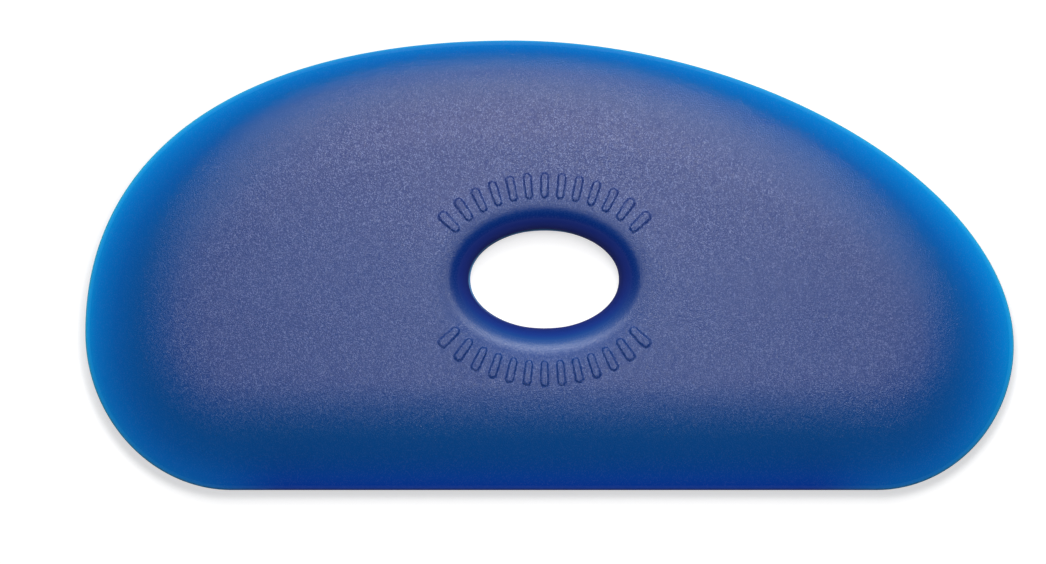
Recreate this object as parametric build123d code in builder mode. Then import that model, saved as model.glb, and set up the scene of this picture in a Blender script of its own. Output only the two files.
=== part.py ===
from build123d import *
from math import asin, cos, degrees, radians, sin
import os

# A pottery rib: one flexible moulded blade with a thin edge all round and a finger
# hole. It lies on its back face, with its straight edge on the -Y side and its crown
# towards +Y. Sizes are in millimetres.

# The outline, seen from the front, has four bowed quarters and a straight edge
length = 104.9  # from the left tip to the right tip
height = 50.8  # from the straight edge to the crown
left_corner_reach = 16.5  # from the left tip to the start of the straight edge
left_tip_height = 17.8  # above the straight edge
right_corner_reach = 15.5
right_tip_height = 16.3
crown_place_share = 0.459  # of the length, from the left tip

# How squarely each quarter bows: 0.707 is an ellipse, and more is squarer
left_corner_share = 0.693
left_shoulder_share = 0.891
right_shoulder_share = 0.608
right_corner_share = 0.697

# The section has a flat middle and a thin round edge, which a long bowed taper joins
thickness = 6.35
edge_thickness = 1.1
taper_share = 0.8  # of the tightest corner's shorter side
taper_steps = 5
edge_steps = 4  # narrow flats that make the edge round

# The finger hole is an ellipse, and flares in a quarter round to both faces
hole_length = 16.84
hole_height = 11.08
hole_place_share = 0.4946  # of the length, from the left tip
hole_height_share = 0.4685  # of the height, above the straight edge
throat_land = 0.35  # what stays upright between the two flares
overrun = 1.0  # how far a cut runs past what it cuts

# The grip is two fans of raised bars on the front, above and below the hole
bar_length = 2.9
bar_width = 1.0
bar_relief = 0.25
bar_clearance = 0.6  # from the flare to the bars
bar_count = 13  # in each fan
fan_share = 0.32  # of a full turn, for each fan

# The taper is one arc, which leaves the flat and leans over more and more, in degrees,
# until it touches the edge's round at taper_lean
middle = thickness / 2
edge_radius = edge_thickness / 2
taper_width = taper_share * min(
    left_corner_reach, left_tip_height, right_corner_reach, right_tip_height
)
taper_reach = taper_width - edge_radius
taper_radius = (taper_reach**2 + middle**2 - edge_radius**2) / (2 * (middle - edge_radius))
taper_lean = degrees(asin(taper_reach / (taper_radius - edge_radius)))

flare_radius = (thickness - throat_land) / 2
fan_offset = flare_radius + bar_clearance + bar_length / 2
fan_angle = 360 * fan_share
hole_center = (
    length * hole_place_share - length / 2,
    height * hole_height_share - height / 2,
)


def section_at(lean):
    """How far in from the edge, and how high, the section has this lean."""
    across, up = sin(radians(lean)), cos(radians(lean))
    if lean <= taper_lean:
        return taper_width - taper_radius * across, thickness - taper_radius * (1 - up)
    return edge_radius * (1 - across), middle + edge_radius * up


def outline_at(lean):
    """The blade's outline at the height where its section has this lean."""
    inset, level = section_at(lean)
    left, right = inset - length / 2, length / 2 - inset
    bottom, top = inset - height / 2, height / 2 - inset
    edge_start = (left_corner_reach - length / 2, bottom)
    edge_end = (length / 2 - right_corner_reach, bottom)
    right_tip = (right, right_tip_height - height / 2)
    crown = (length * crown_place_share - length / 2, top)
    left_tip = (left, left_tip_height - height / 2)
    with BuildSketch(Plane.XY.offset(level)) as outline:
        with BuildLine():
            Line(edge_start, edge_end)
            Bezier(edge_end, (right, bottom), right_tip, weights=[1, right_corner_share, 1])
            Bezier(right_tip, (right, top), crown, weights=[1, right_shoulder_share, 1])
            Bezier(crown, (left, top), left_tip, weights=[1, left_shoulder_share, 1])
            Bezier(left_tip, (left, bottom), edge_start, weights=[1, left_corner_share, 1])
        make_face()
    return outline.sketch


def outlines_between(start, end, steps):
    """Outlines at evenly spaced leans, from the start to the end."""
    return [outline_at(start + (end - start) * step / steps) for step in range(steps + 1)]


with BuildPart() as rib:
    # The front's taper, the back's mirror image of it, and the round edge between them
    loft(outlines_between(0, taper_lean, taper_steps))
    mirror(about=Plane.XY.offset(middle))
    loft(outlines_between(taper_lean, 180 - taper_lean, edge_steps), ruled=True)

    # The throat goes right through, and both its rims are cut away to the flare
    with BuildLine(Plane.XY.offset(middle)) as throat:
        EllipticalCenterArc(hole_center, hole_length / 2, hole_height / 2, arc_size=360)
    with BuildSketch(Plane.XY.offset(-overrun)):
        with Locations(hole_center):
            Ellipse(hole_length / 2, hole_height / 2)
    extrude(amount=thickness + 2 * overrun, mode=Mode.SUBTRACT)
    with BuildSketch(Plane(throat.line @ 0, x_dir=(1, 0, 0), z_dir=(0, -1, 0))):
        with BuildLine():
            flare_start = (0, throat_land / 2)
            flare_end = (flare_radius, middle)
            TangentArc(flare_start, flare_end, tangent=(0, 1))
            Polyline(
                flare_end,
                (flare_radius, middle + overrun),
                (-overrun, middle + overrun),
                (-overrun, 0),
                (0, 0),
                flare_start,
            )
        make_face()
        mirror(about=Plane.XZ)
    sweep(path=throat.line, mode=Mode.SUBTRACT)

    # Each fan's bars stand square to an ellipse that runs round outside the flare
    for fan_middle in (90, 270):
        with BuildLine() as guide:
            EllipticalCenterArc(
                hole_center,
                hole_length / 2 + fan_offset,
                hole_height / 2 + fan_offset,
                start_angle=fan_middle - fan_angle / 2,
                arc_size=fan_angle,
            )
        with BuildSketch(Plane.XY.offset(middle)):
            for bar in range(bar_count):
                place = bar / (bar_count - 1)
                along_guide = guide.edge().tangent_angle_at(place)
                with Locations(guide.line @ place):
                    Rectangle(bar_width, bar_length, rotation=along_guide)
        extrude(amount=middle + bar_relief)

os.makedirs("parts", exist_ok=True)
rib.part.label = "rib"
export_step(rib.part, "parts/rib.step")
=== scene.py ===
import bpy
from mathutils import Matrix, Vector
import numpy as np


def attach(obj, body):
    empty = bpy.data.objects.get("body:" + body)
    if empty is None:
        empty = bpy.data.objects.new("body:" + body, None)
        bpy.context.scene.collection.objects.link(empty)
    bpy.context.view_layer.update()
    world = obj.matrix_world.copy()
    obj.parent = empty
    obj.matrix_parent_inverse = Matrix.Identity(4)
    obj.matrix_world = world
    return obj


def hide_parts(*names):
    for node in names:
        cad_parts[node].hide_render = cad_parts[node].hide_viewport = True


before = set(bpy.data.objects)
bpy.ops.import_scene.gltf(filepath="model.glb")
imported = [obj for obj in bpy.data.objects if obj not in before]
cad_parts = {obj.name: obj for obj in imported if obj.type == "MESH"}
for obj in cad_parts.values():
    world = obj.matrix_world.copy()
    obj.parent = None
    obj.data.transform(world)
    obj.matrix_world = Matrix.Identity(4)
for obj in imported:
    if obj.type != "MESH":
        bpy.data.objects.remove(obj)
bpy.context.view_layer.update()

# The blade is one piece of flexible rubber, cast between two mould halves that meet at
# its thin edge and in its finger hole. It's drawn in millimetres, in the CAD's frame.

# The outline has four bowed quarters and a straight edge, as in the solid
length = 104.9
height = 50.8
left_corner_reach = 16.5
left_tip_height = 17.8
right_corner_reach = 15.5
right_tip_height = 16.3
crown_place_share = 0.459
left_corner_share = 0.693
left_shoulder_share = 0.891
right_shoulder_share = 0.608
right_corner_share = 0.697

# Its section is flat in the middle, and an arc tapers that to a thin round edge
thickness = 6.35
edge_thickness = 1.1
taper_share = 0.8
middle = thickness / 2
edge_radius = edge_thickness / 2
taper_width = taper_share * min(
    left_corner_reach, left_tip_height, right_corner_reach, right_tip_height
)
taper_reach = taper_width - edge_radius
taper_radius = (taper_reach**2 + middle**2 - edge_radius**2) / (2 * (middle - edge_radius))
taper_lean = np.arcsin(taper_reach / (taper_radius - edge_radius))

# The finger hole is an ellipse whose rims flare to both faces
hole_length = 16.84
hole_height = 11.08
hole_place_share = 0.4946
hole_height_share = 0.4685
throat_land = 0.35
hole_reach = np.array([hole_length, hole_height]) / 2
hole_center = np.array(
    [length * hole_place_share - length / 2, height * hole_height_share - height / 2]
)
flare_radius = (thickness - throat_land) / 2

# The grip's raised bars stand on an ellipse outside the flare, with flat tops
bar_length = 2.9
bar_width = 1.0
bar_relief = 0.22
bar_side = 0.14
bar_clearance = 0.6
bars_in_fan = 13
fan_share = 0.32
bar_line = flare_radius + bar_clearance + bar_length / 2
columns_per_bar = 24
fine_steps = 7200


def around_the_grip():
    """Angles round the hole, evenly spaced along the bars' own ellipse, so that columns
    of the mesh run along each bar, and each bar's place among them."""
    fine = np.linspace(-90, 270, fine_steps + 1)
    reach = hole_reach + bar_line
    turn = np.radians(fine)
    line = np.stack([reach[0] * np.cos(turn), reach[1] * np.sin(turn)], 1)
    run = np.append(0, np.cumsum(np.linalg.norm(np.diff(line, axis=0), axis=1)))
    half_fan = 360 * fan_share / 2
    stops = np.interp([90 - half_fan, 90 + half_fan, 270 - half_fan], fine, run)
    fan_run = stops[1] - stops[0]
    pitch = fan_run / (bars_in_fan - 1)
    side_columns = round((stops[2] - stops[1]) / pitch * columns_per_bar)
    fan_columns = (bars_in_fan - 1) * columns_per_bar
    starts = [stops[0], stops[1], stops[2], stops[2] + fan_run]
    ends = starts[1:] + [stops[0] + run[-1]]
    counts = [fan_columns, side_columns, fan_columns, side_columns]
    along = np.concatenate(
        [np.linspace(a, b, n, endpoint=False) for a, b, n in zip(starts, ends, counts)]
    )
    places = [
        start + pitch * bar for start in (stops[0], stops[2]) for bar in range(bars_in_fan)
    ]
    angles = np.radians(np.interp(along % run[-1], run, fine))
    return angles, along, np.array(places), run[-1]


angle, along_grip, bar_places, grip_round = around_the_grip()
columns = len(angle)
around = np.stack([np.cos(angle), np.sin(angle)], 1)
throat = hole_center + around * hole_reach
outward = around / hole_reach
outward /= np.linalg.norm(outward, axis=1, keepdims=True)


def is_inside(points, inset):
    """Whether points lie inside the blade's outline, drawn in by the inset."""
    x = points[..., 0]
    y = points[..., 1]
    left = inset - length / 2
    right = length / 2 - inset
    bottom = inset - height / 2
    top = height / 2 - inset
    crown = length * crown_place_share - length / 2
    edge_start = left_corner_reach - length / 2
    edge_end = length / 2 - right_corner_reach
    left_tip = left_tip_height - height / 2
    right_tip = right_tip_height - height / 2
    inside = (y > bottom) & (y < top)
    quarters = (
        ((x < edge_start) & (y < left_tip), left, bottom, edge_start, left_tip, left_corner_share),
        ((x < crown) & (y >= left_tip), left, top, crown, left_tip, left_shoulder_share),
        ((x >= crown) & (y >= right_tip), right, top, crown, right_tip, right_shoulder_share),
        ((x > edge_end) & (y < right_tip), right, bottom, edge_end, right_tip, right_corner_share),
    )
    for here, side, level, end, tip, share in quarters:
        across = (x - side) / (end - side)
        up = (y - level) / (tip - level)
        corner = 1 - across - up
        bowed = (corner < 0) | (corner**2 < 4 * share**2 * across * up)
        inside = inside & (~here | ((across > 0) & (up > 0) & bowed))
    return inside


def crossing(inset):
    """How far out from the throat each column crosses the outline drawn in by the inset."""
    halvings = 40
    near = np.zeros(columns)
    far = np.full(columns, length)
    for halving in range(halvings):
        between = (near + far) / 2
        inside = is_inside(throat + outward * between[:, None], inset)
        near = np.where(inside, between, near)
        far = np.where(inside, far, between)
    return near


def inset_at(points):
    """How far in from the edge points lie, and no more than the taper's width."""
    halvings = 30
    least_step = 0.001
    near = np.zeros(len(points))
    far = np.full(len(points), taper_width)
    for halving in range(halvings):
        between = (near + far) / 2
        inside = is_inside(points, between)
        near = np.where(inside, between, near)
        far = np.where(inside, far, between)
    return np.where(near > taper_width - least_step, taper_width, near)


def taper_drop(inset):
    """How far below the flat the taper lies at an inset."""
    across = (taper_width - np.minimum(inset, taper_width)) / taper_radius
    return taper_radius * (1 - np.sqrt(1 - across**2))


def bar_rise(out):
    """The bars' relief on each column at one distance out from the throat."""
    ahead = along_grip[:, None] - bar_places[None, :]
    apart = (ahead + grip_round / 2) % grip_round - grip_round / 2
    across = np.abs(apart).min(1)
    beyond = max(abs(out - bar_line) - (bar_length - bar_width) / 2, 0)
    depth = np.clip((bar_width / 2 - np.hypot(across, beyond)) / bar_side, 0, 1)
    return bar_relief * (1 - (1 - depth) ** 2)


def facing(points):
    """How far towards +Y a row of points faces outwards, from -1 to 1."""
    along = np.roll(points, -1, axis=0) - np.roll(points, 1, axis=0)
    return -along[:, 0] / np.linalg.norm(along, axis=1)


def outline_row(inset):
    """Each column's point on the outline drawn in by the inset."""
    return throat + outward * crossing(inset)[:, None]


def face_row(out, side):
    """Each column's point, level and inset at its distance out, on the front or back."""
    points = throat + outward * (np.zeros(columns) + out)[:, None]
    inset = inset_at(points)
    return points, middle + side * (middle - taper_drop(inset)), inset


def steps(start, end, count):
    """This many even steps from the start, which is left out, to the end."""
    return np.linspace(start, end, count + 1)[1:]


# The mould's halves left a thin, uneven flash in the throat, widest at the upper left
flash_width = 0.18
flash_thickness = 0.1
flash_least_width = 0.08
flash_bearing = 145
flash_share = 0.45
flash_swing = 0.9
flash_ripple = 0.12
flash_ripples = 5
lip_place = 0.02
lip_wave = 0.05
lip_waves = 4
lip_round = 0.03

# The mesh follows the hole as far as the bars' outer ends, and the outline past the inner
# inset. Each stretch of it has this many rows.
band_end = 7.0
inner_inset = 10.5
front_flare_rows = 14
band_rows = 40
front_flat_rows = 8
front_taper_rows = 10
edge_rows = 10
back_taper_rows = 6
back_flat_rows = 6
back_flare_rows = 12


def rows_of_the_blade():
    """Every row of points, from the throat over the front, round the edge and back, each
    with its level, inset, facing and share of flash."""
    rows = []
    inner_facing = facing(outline_row(inner_inset))
    inner_reach = crossing(inner_inset)
    inner_lean = np.arcsin((taper_width - inner_inset) / taper_radius)
    deep = np.full(columns, taper_width)

    def add(points, level, inset, faces=inner_facing, film=0):
        flat = np.zeros(columns)
        rows.append((points, flat + level, flat + inset, faces, flat + film))

    swing = flash_swing * np.cos(angle - np.radians(flash_bearing))
    ripple = flash_ripple * np.sin(flash_ripples * angle)
    film = np.clip(flash_share + swing + ripple, 0, 1)
    flash = flash_width * film
    lip = throat + outward * (lip_place - lip_wave * np.cos(lip_waves * angle))[:, None]
    root = throat + outward * np.maximum(flash, flash_least_width)[:, None]
    add(lip, middle, deep, film=film)
    add(lip + outward * lip_round, middle + flash_thickness / 2, deep, film=film)
    add(root, middle + flash_thickness, deep, film=film)
    for turn in np.radians(np.linspace(0, 90, front_flare_rows + 1)):
        out = np.maximum(flare_radius * (1 - np.cos(turn)), flash)
        points, level, inset = face_row(out, 1)
        add(points, level - flare_radius * (1 - np.sin(turn)), inset)
    for out in steps(flare_radius, band_end, band_rows):
        points, level, inset = face_row(out, 1)
        add(points, level + bar_rise(out), inset)
    for share in steps(0, 1, front_flat_rows):
        add(*face_row(band_end + (inner_reach - band_end) * share, 1))
    for lean in steps(inner_lean, taper_lean, front_taper_rows):
        inset = taper_width - taper_radius * np.sin(lean)
        points = outline_row(inset)
        add(points, thickness - taper_drop(inset), inset, facing(points))
    for lean in steps(taper_lean, np.pi - taper_lean, edge_rows):
        inset = edge_radius * (1 - np.sin(lean))
        points = outline_row(inset)
        add(points, middle + edge_radius * np.cos(lean), inset, facing(points))
    for lean in steps(taper_lean, inner_lean, back_taper_rows):
        inset = taper_width - taper_radius * np.sin(lean)
        points = outline_row(inset)
        add(points, taper_drop(inset), inset, facing(points))
    for share in steps(1, 0, back_flat_rows):
        add(*face_row(flare_radius + (inner_reach - flare_radius) * share, -1))
    for turn in np.radians(steps(90, 0, back_flare_rows)):
        points, level, inset = face_row(flare_radius * (1 - np.cos(turn)), -1)
        add(points, level + flare_radius * (1 - np.sin(turn)), inset)
    add(root, middle - flash_thickness, deep)
    add(lip + outward * lip_round, middle - flash_thickness / 2, deep)
    return rows


rows = rows_of_the_blade()
corners = np.array([np.column_stack(row[:2]) for row in rows]).reshape(-1, 3)
insets = np.array([row[2] for row in rows]).ravel()
faces_up = np.array([row[3] for row in rows]).ravel()
films = np.array([row[4] for row in rows]).ravel()
out_of_throat = np.array([np.linalg.norm(row[0] - throat, axis=1) for row in rows]).ravel()

# The base colour gets painted light and painted shade: the light that comes up through the
# thin edge from the card below is painted in, and painted shade lies on the straight edge's
# side, most of all in its middle, which lies in the blade's own shadow, and towards the left.
# The crown gets painted shade of its own. In the hole, painted light lies on the side nearest
# the straight edge.
shadow_reach = 41
shadow_blend = 12
lower_shade = 0.66
lower_spread = 1.2
shadow_shade = 0.34
shadow_spread = 4
left_shade = 0.29
left_shade_start = 1.5
crown_spread = 7
painted_flare_light_spread = 4
in_shadow = np.clip((shadow_reach - np.abs(corners[:, 0])) / shadow_blend, 0, 1)
in_shadow = in_shadow**2 * (3 - 2 * in_shadow)
downward = np.clip(-faces_up, 0, 1)
off_the_rim = np.clip(insets / left_shade_start, 0, 1)
leftward = np.clip(-2 * corners[:, 0] / length, 0, 1) * off_the_rim
painted_shades = (
    lower_shade * downward**lower_spread
    + shadow_shade * downward**shadow_spread * in_shadow
    + left_shade * leftward * (1 - downward)
)
crown_shares = np.clip(faces_up, 0, 1) ** crown_spread
painted_flare_lights = np.tile(((1 - outward[:, 1]) / 2) ** painted_flare_light_spread, len(rows))

here = np.arange(len(rows) * columns).reshape(len(rows), columns)
next_column = np.roll(here, -1, axis=1)
next_row = np.roll(here, -1, axis=0)
next_both = np.roll(next_column, -1, axis=0)
quads = np.stack([here, next_column, next_both, next_row], -1).reshape(-1, 4)
blade_mesh = bpy.data.meshes.new("rib_blade")
blade_mesh.from_pydata((corners / 1000).tolist(), [], quads.tolist())
# The painted edge shade, the crown's share and the hole's painted light go on the mesh
for name, values in (
    ("edge_distance", insets),
    ("painted_edge_shade", painted_shades),
    ("crown_share", crown_shares),
    ("throat_distance", out_of_throat),
    ("painted_flare_light", painted_flare_lights),
    ("film_share", films),
):
    attribute = blade_mesh.attributes.new(name, "FLOAT", "POINT")
    attribute.data.foreach_set("value", values.astype(np.float32))
blade_mesh.shade_smooth()
blade_mesh.validate()
blade = bpy.data.objects.new("rib_blade", blade_mesh)
bpy.context.scene.collection.objects.link(blade)


def add_node(tree, kind, **settings):
    """A new node of this kind, with the settings that aren't sockets."""
    made = tree.nodes.new(kind)
    for name, value in settings.items():
        setattr(made, name, value)
    return made


def feed(tree, value, socket):
    """Gives a socket its value, which is another node's socket, a number or a colour."""
    if isinstance(value, bpy.types.NodeSocket):
        tree.links.new(value, socket)
    else:
        socket.default_value = value


def add_reading(tree, name):
    """A new node that reads what the mesh says of each of its points."""
    return add_node(tree, "ShaderNodeAttribute", attribute_name=name).outputs["Fac"]


def add_math(tree, operation, first, second):
    """A new maths node of two values."""
    made = add_node(tree, "ShaderNodeMath", operation=operation)
    feed(tree, first, made.inputs[0])
    feed(tree, second, made.inputs[1])
    return made.outputs["Value"]


def add_span(tree, value, start, end, low, high):
    """A new node that takes a value from one span to another, and stays within it."""
    made = add_node(tree, "ShaderNodeMapRange")
    feed(tree, value, made.inputs["Value"])
    made.inputs["From Min"].default_value = start
    made.inputs["From Max"].default_value = end
    made.inputs["To Min"].default_value = low
    made.inputs["To Max"].default_value = high
    return made.outputs["Result"]


def add_mix(tree, share, first, second, blend="MIX"):
    """A new node that mixes two colours, which are its sockets 6 and 7."""
    made = add_node(tree, "ShaderNodeMix", data_type="RGBA", blend_type=blend)
    feed(tree, share, made.inputs["Factor"])
    feed(tree, first, made.inputs[6])
    feed(tree, second, made.inputs[7])
    return made.outputs[2]


def add_ramp(tree, distance, reach, stops):
    """A new colour ramp along a distance, with stops of a distance and a colour each."""
    made = add_node(tree, "ShaderNodeValToRGB")
    feed(tree, add_math(tree, "DIVIDE", distance, reach), made.inputs["Fac"])
    elements = made.color_ramp.elements
    elements.remove(elements[-1])
    for count, (stop, colour) in enumerate(stops):
        element = elements[0] if count == 0 else elements.new(stop / reach)
        element.position = stop / reach
        element.color = (*colour, 1)
    return made.outputs["Color"]


# The rubber is a strong blue all through, and paler where it's thin. The ramps also paint
# the light that comes through the thin edge, by distance from the edge: on a painted lit
# side, on a painted shaded one, and on the crown, which has painted shade and a little
# painted sheen. These colours were worked out from the photograph's at such distances,
# then adjusted.
painted_lit_edge = (
    (0.0, (0.03, 0.66, 1.0)),
    (0.25, (0.002, 0.36, 0.84)),
    (0.6, (0.001, 0.265, 0.72)),
    (1.2, (0.001, 0.215, 0.66)),
    (2.0, (0.001, 0.176, 0.58)),
    (3.5, (0.001, 0.119, 0.45)),
    (5.0, (0.001, 0.093, 0.36)),
    (6.5, (0.001, 0.073, 0.295)),
    (8.5, (0.001, 0.056, 0.247)),
    (10.5, (0.001, 0.038, 0.204)),
    (12.4, (0.003, 0.032, 0.186)),
)
# Painted shade: the edge's colours where it lies in shade
painted_shade_edge = (
    (0.0, (0.001, 0.036, 0.29)),
    (0.6, (0.001, 0.041, 0.32)),
    (1.5, (0.001, 0.047, 0.3)),
    (2.5, (0.001, 0.05, 0.265)),
    (4.0, (0.001, 0.053, 0.236)),
    (6.5, (0.001, 0.054, 0.217)),
    (9.0, (0.001, 0.047, 0.205)),
    (12.4, (0.003, 0.033, 0.187)),
)
# The crown's colours, darkened with painted shade and given a little painted sheen
painted_crown_edge = (
    (0.0, (0.02, 0.45, 0.9)),
    (0.25, (0.001, 0.2, 0.6)),
    (0.6, (0.001, 0.16, 0.53)),
    (1.2, (0.001, 0.122, 0.455)),
    (2.0, (0.001, 0.1, 0.375)),
    (3.5, (0.008, 0.06, 0.26)),
    (5.0, (0.013, 0.05, 0.216)),
    (6.5, (0.008, 0.032, 0.18)),
    (8.5, (0.003, 0.019, 0.16)),
    (10.5, (0.005, 0.022, 0.166)),
    (12.4, (0.007, 0.028, 0.173)),
)

# The same by distance from the throat: painted shade on the hole's dark sides, and
# painted light with a painted highlight on its lit one
flare_reach = 6.0
painted_shade_flare = (
    (0.0, (0.001, 0.012, 0.18)),
    (1.2, (0.001, 0.015, 0.17)),
    (1.8, (0.001, 0.022, 0.166)),
    (2.4, (0.001, 0.029, 0.175)),
    (6.0, (0.003, 0.033, 0.187)),
)
painted_lit_flare = (
    (0.0, (0.001, 0.018, 0.23)),
    (0.8, (0.001, 0.036, 0.272)),
    (1.2, (0.005, 0.062, 0.285)),
    (1.8, (0.055, 0.12, 0.34)),
    (2.4, (0.04, 0.095, 0.31)),
    (3.0, (0.005, 0.05, 0.25)),
    (4.2, (0.003, 0.045, 0.23)),
    (6.0, (0.003, 0.033, 0.187)),
)
flash_blue = (0.09, 0.26, 0.53, 1)
# The painted sheen's pale colour
painted_sheen_blue = (0.5, 0.6, 0.9, 1)
rubber_gloss = 0.3
rubber_ior = 1.5
pore_scale = 9000
facet_scale = 10500
pore_depth = 0.000035
crown_sheen_gain = 0.5
crown_sheen_shift = 4.0
crown_polish_shift = 2.2

rubber = bpy.data.materials.new("blue_rubber")
rubber.use_nodes = True
tree = rubber.node_tree
tree.nodes.clear()
surface = add_node(tree, "ShaderNodeOutputMaterial")
skin = add_node(tree, "ShaderNodeBsdfPrincipled")
feed(tree, skin.outputs["BSDF"], surface.inputs["Surface"])
skin.inputs["Specular IOR Level"].default_value = rubber_gloss
skin.inputs["IOR"].default_value = rubber_ior

# These read the mesh's values, among them its painted edge shade and painted flare light
edge_distance = add_reading(tree, "edge_distance")
painted_edge_shade = add_reading(tree, "painted_edge_shade")
crown_share = add_reading(tree, "crown_share")
throat_distance = add_reading(tree, "throat_distance")
painted_flare_light = add_reading(tree, "painted_flare_light")
film_share = add_reading(tree, "film_share")

# Painted light and painted shade from the edge ramps, mixed by the painted edge shade and the
# crown's share
lit_colour = add_ramp(tree, edge_distance, taper_width, painted_lit_edge)
shaded_colour = add_ramp(tree, edge_distance, taper_width, painted_shade_edge)
crown_colour = add_ramp(tree, edge_distance, taper_width, painted_crown_edge)
side_colour = add_mix(tree, painted_edge_shade, lit_colour, shaded_colour)
edge_colour = add_mix(tree, crown_share, side_colour, crown_colour)
# Painted shade and painted light with its highlight in the flare, mixed by side
painted_flare_shade_colour = add_ramp(tree, throat_distance, flare_reach, painted_shade_flare)
painted_flare_light_colour = add_ramp(tree, throat_distance, flare_reach, painted_lit_flare)
flare_colour = add_mix(tree, painted_flare_light, painted_flare_shade_colour, painted_flare_light_colour)
by_the_hole = add_span(tree, throat_distance, start=3.0, end=flare_reach, low=1.0, high=0.0)
face_colour = add_mix(tree, by_the_hole, edge_colour, flare_colour)
rubber_colour = add_mix(tree, film_share, face_colour, flash_blue)

# Painted sheen: pale specks on the flat stand in for the gloss of its satin surface,
# a little more of them by the crown
place = add_node(tree, "ShaderNodeTexCoord").outputs["Object"]
facets = add_node(tree, "ShaderNodeTexVoronoi")
feed(tree, place, facets.inputs["Vector"])
feed(tree, facet_scale, facets.inputs["Scale"])
facet = add_node(tree, "ShaderNodeSeparateColor")
feed(tree, facets.outputs["Color"], facet.inputs["Color"])
painted_sheen = add_span(tree, facet.outputs["Green"], start=0.65, end=1.0, low=0.0, high=0.19)
sheen_shift = add_math(tree, "MULTIPLY", crown_share, crown_sheen_shift)
off_the_crown = add_math(tree, "ADD", edge_distance, sheen_shift)
off_the_edge = add_span(tree, off_the_crown, start=6.0, end=12.0, low=0.1, high=1.0)
off_the_flare = add_span(tree, throat_distance, start=2.2, end=4.2, low=0.0, high=1.0)
on_the_face = add_math(tree, "MULTIPLY", off_the_edge, off_the_flare)
face_sheen = add_math(tree, "MULTIPLY", painted_sheen, on_the_face)
sheen_gain = add_math(tree, "MULTIPLY", crown_share, crown_sheen_gain)
crown_sheen = add_math(tree, "ADD", sheen_gain, 1.0)
flat_sheen = add_math(tree, "MULTIPLY", face_sheen, crown_sheen)
speckled = add_mix(tree, flat_sheen, rubber_colour, painted_sheen_blue, "ADD")
feed(tree, speckled, skin.inputs["Base Color"])

# The taper is the most polished, from use, and the very edge and the throat are matt
matt_throat = add_span(tree, throat_distance, start=0.4, end=1.8, low=0.95, high=0.0)
matt_edge = add_span(tree, edge_distance, start=0.1, end=0.7, low=0.9, high=0.0)
matt = add_math(tree, "MAXIMUM", matt_throat, matt_edge)
polish_shift = add_math(tree, "MULTIPLY", crown_share, crown_polish_shift)
towards_the_face = add_math(tree, "ADD", edge_distance, polish_shift)
polish = add_span(tree, towards_the_face, start=3.0, end=10.0, low=0.32, high=1.0)
uneven = add_span(tree, facet.outputs["Red"], start=0.0, end=1.0, low=0.215, high=0.465)
flare_polish = add_span(tree, throat_distance, start=1.8, end=2.6, low=0.7, high=1.16)
rim_wear = add_span(tree, throat_distance, start=2.9, end=4.4, low=1.0, high=0.86)
by_the_rim = add_math(tree, "MULTIPLY", flare_polish, rim_wear)
worn = add_math(tree, "MULTIPLY", polish, by_the_rim)
face_roughness = add_math(tree, "MULTIPLY", worn, uneven)
feed(tree, add_math(tree, "MAXIMUM", matt, face_roughness), skin.inputs["Roughness"])

# The mould's fine pores are shallower by the edge and in the flare
pores = add_node(tree, "ShaderNodeTexNoise")
feed(tree, place, pores.inputs["Vector"])
feed(tree, pore_scale, pores.inputs["Scale"])
feed(tree, 1, pores.inputs["Detail"])
edge_relief = add_span(tree, towards_the_face, start=1.5, end=6.0, low=0.1, high=1.0)
throat_relief = add_span(tree, throat_distance, start=1.0, end=3.0, low=0.2, high=1.0)
relief = add_math(tree, "MULTIPLY", edge_relief, throat_relief)
grain = add_node(tree, "ShaderNodeBump")
feed(tree, 1, grain.inputs["Strength"])
feed(tree, pore_depth, grain.inputs["Distance"])
feed(tree, add_math(tree, "MULTIPLY", pores.outputs["Fac"], relief), grain.inputs["Height"])
feed(tree, grain.outputs["Normal"], skin.inputs["Normal"])
blade_mesh.materials.append(rubber)
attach(blade, "root")
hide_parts("rib")

# The floor is a round sheet of white card that the blade lies loose on. It's rolled up
# in a cove far behind every side, so that its rim stays out of sight.
floor_radius = 3.0
cove_radius = 0.6
wall_height = 1.6
inner_ring = 0.15
sides = 96
cove_steps = 8
card_grey = (0.5, 0.5, 0.5, 1)
card_roughness = 0.9
card_gloss = 0.1
card_whiteness = 0.635

cove_start = floor_radius - cove_radius
profile = [(inner_ring, 0.0), (cove_start, 0.0)]
for bend in steps(0, np.pi / 2, cove_steps):
    reach = cove_start + cove_radius * np.sin(bend)
    profile.append((reach, cove_radius * (1 - np.cos(bend))))
profile.append((floor_radius, wall_height))
floor_points = [(0.0, 0.0, 0.0)]
floor_faces = []
for ring, (reach, level) in enumerate(profile):
    for side in range(sides):
        bearing = 2 * np.pi * side / sides
        floor_points.append((reach * np.cos(bearing), reach * np.sin(bearing), level))
        following = (side + 1) % sides
        if ring == 0:
            floor_faces.append((0, 1 + side, 1 + following))
        else:
            inner = 1 + (ring - 1) * sides
            outer = 1 + ring * sides
            floor_faces.append(
                (inner + side, outer + side, outer + following, inner + following)
            )
floor_mesh = bpy.data.meshes.new("card_floor")
floor_mesh.from_pydata(floor_points, [], floor_faces)
floor_mesh.shade_smooth()
floor = bpy.data.objects.new("card_floor", floor_mesh)
bpy.context.scene.collection.objects.link(floor)

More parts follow.
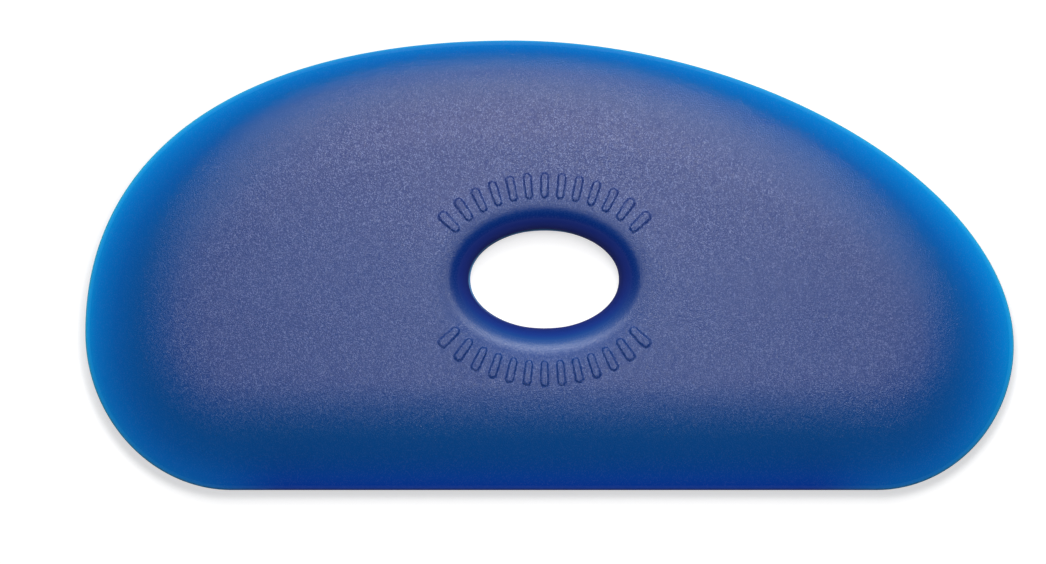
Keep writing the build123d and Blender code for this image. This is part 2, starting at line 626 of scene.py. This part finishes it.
card = bpy.data.materials.new("white_card")
card.use_nodes = True
tree = card.node_tree
card_skin = tree.nodes["Principled BSDF"]
card_skin.inputs["Base Color"].default_value = card_grey
card_skin.inputs["Roughness"].default_value = card_roughness
card_skin.inputs["Specular IOR Level"].default_value = card_gloss
card_skin.inputs["Emission Color"].default_value = (1, 1, 1, 1)
seen = add_node(tree, "ShaderNodeLightPath").outputs
straight = add_math(tree, "MAXIMUM", seen["Is Camera Ray"], seen["Is Glossy Ray"])
any_view = add_math(tree, "MAXIMUM", straight, seen["Is Transmission Ray"])
whiteness = add_math(tree, "MULTIPLY", any_view, card_whiteness)
feed(tree, whiteness, card_skin.inputs["Emission Strength"])
floor_mesh.materials.append(card)

# The lamps are two round soft boxes: a small one close overhead, and a broad one further
# off on the crown's side. Their places began as a fit to the gloss in the photograph.
# The world adds a little even light from all round.
world_strength = 0.07
studio = bpy.data.worlds.new("studio")
studio.use_nodes = True
all_round = studio.node_tree.nodes["Background"]
all_round.inputs["Color"].default_value = (1, 1, 1, 1)
all_round.inputs["Strength"].default_value = world_strength
bpy.context.scene.world = studio


def add_soft_box(name, size, place, brightness):
    """A round soft box that faces the blade, this many times as bright as lit card."""
    lamp = bpy.data.lights.new(name, "AREA")
    lamp.shape = "DISK"
    lamp.size = size
    lamp.energy = brightness * np.pi * np.pi * (size / 2) ** 2
    box = bpy.data.objects.new(name, lamp)
    box.location = place
    box.rotation_mode = "QUATERNION"
    box.rotation_quaternion = (-Vector(place)).to_track_quat("-Z", "Y")
    box.visible_camera = False
    bpy.context.scene.collection.objects.link(box)


add_soft_box("overhead_box", size=0.05, place=(0.0076, 0.022, 0.182), brightness=22.3)
add_soft_box("crown_side_box", size=0.25, place=(0.012, 0.21, 0.472), brightness=11.3)

# The camera looks straight down on the blade through a long lens, so that its sides
# don't lean. Its height follows from the width of card that the photograph takes in.
camera_lens = 250
sensor_width = 36
frame_width = 0.11817
frame_middle = (-0.003, -0.00189)
furthest_seen = 20
camera_height = middle / 1000 + camera_lens / sensor_width * frame_width
camera_data = bpy.data.cameras.new("camera")
camera_data.lens = camera_lens
camera_data.sensor_width = sensor_width
camera_data.clip_end = furthest_seen
camera = bpy.data.objects.new("camera", camera_data)
camera.location = (*frame_middle, camera_height)
camera.rotation_euler = (0, 0, 0)
bpy.context.scene.collection.objects.link(camera)
bpy.context.scene.camera = camera
bpy.context.scene.view_settings.view_transform = "Standard"
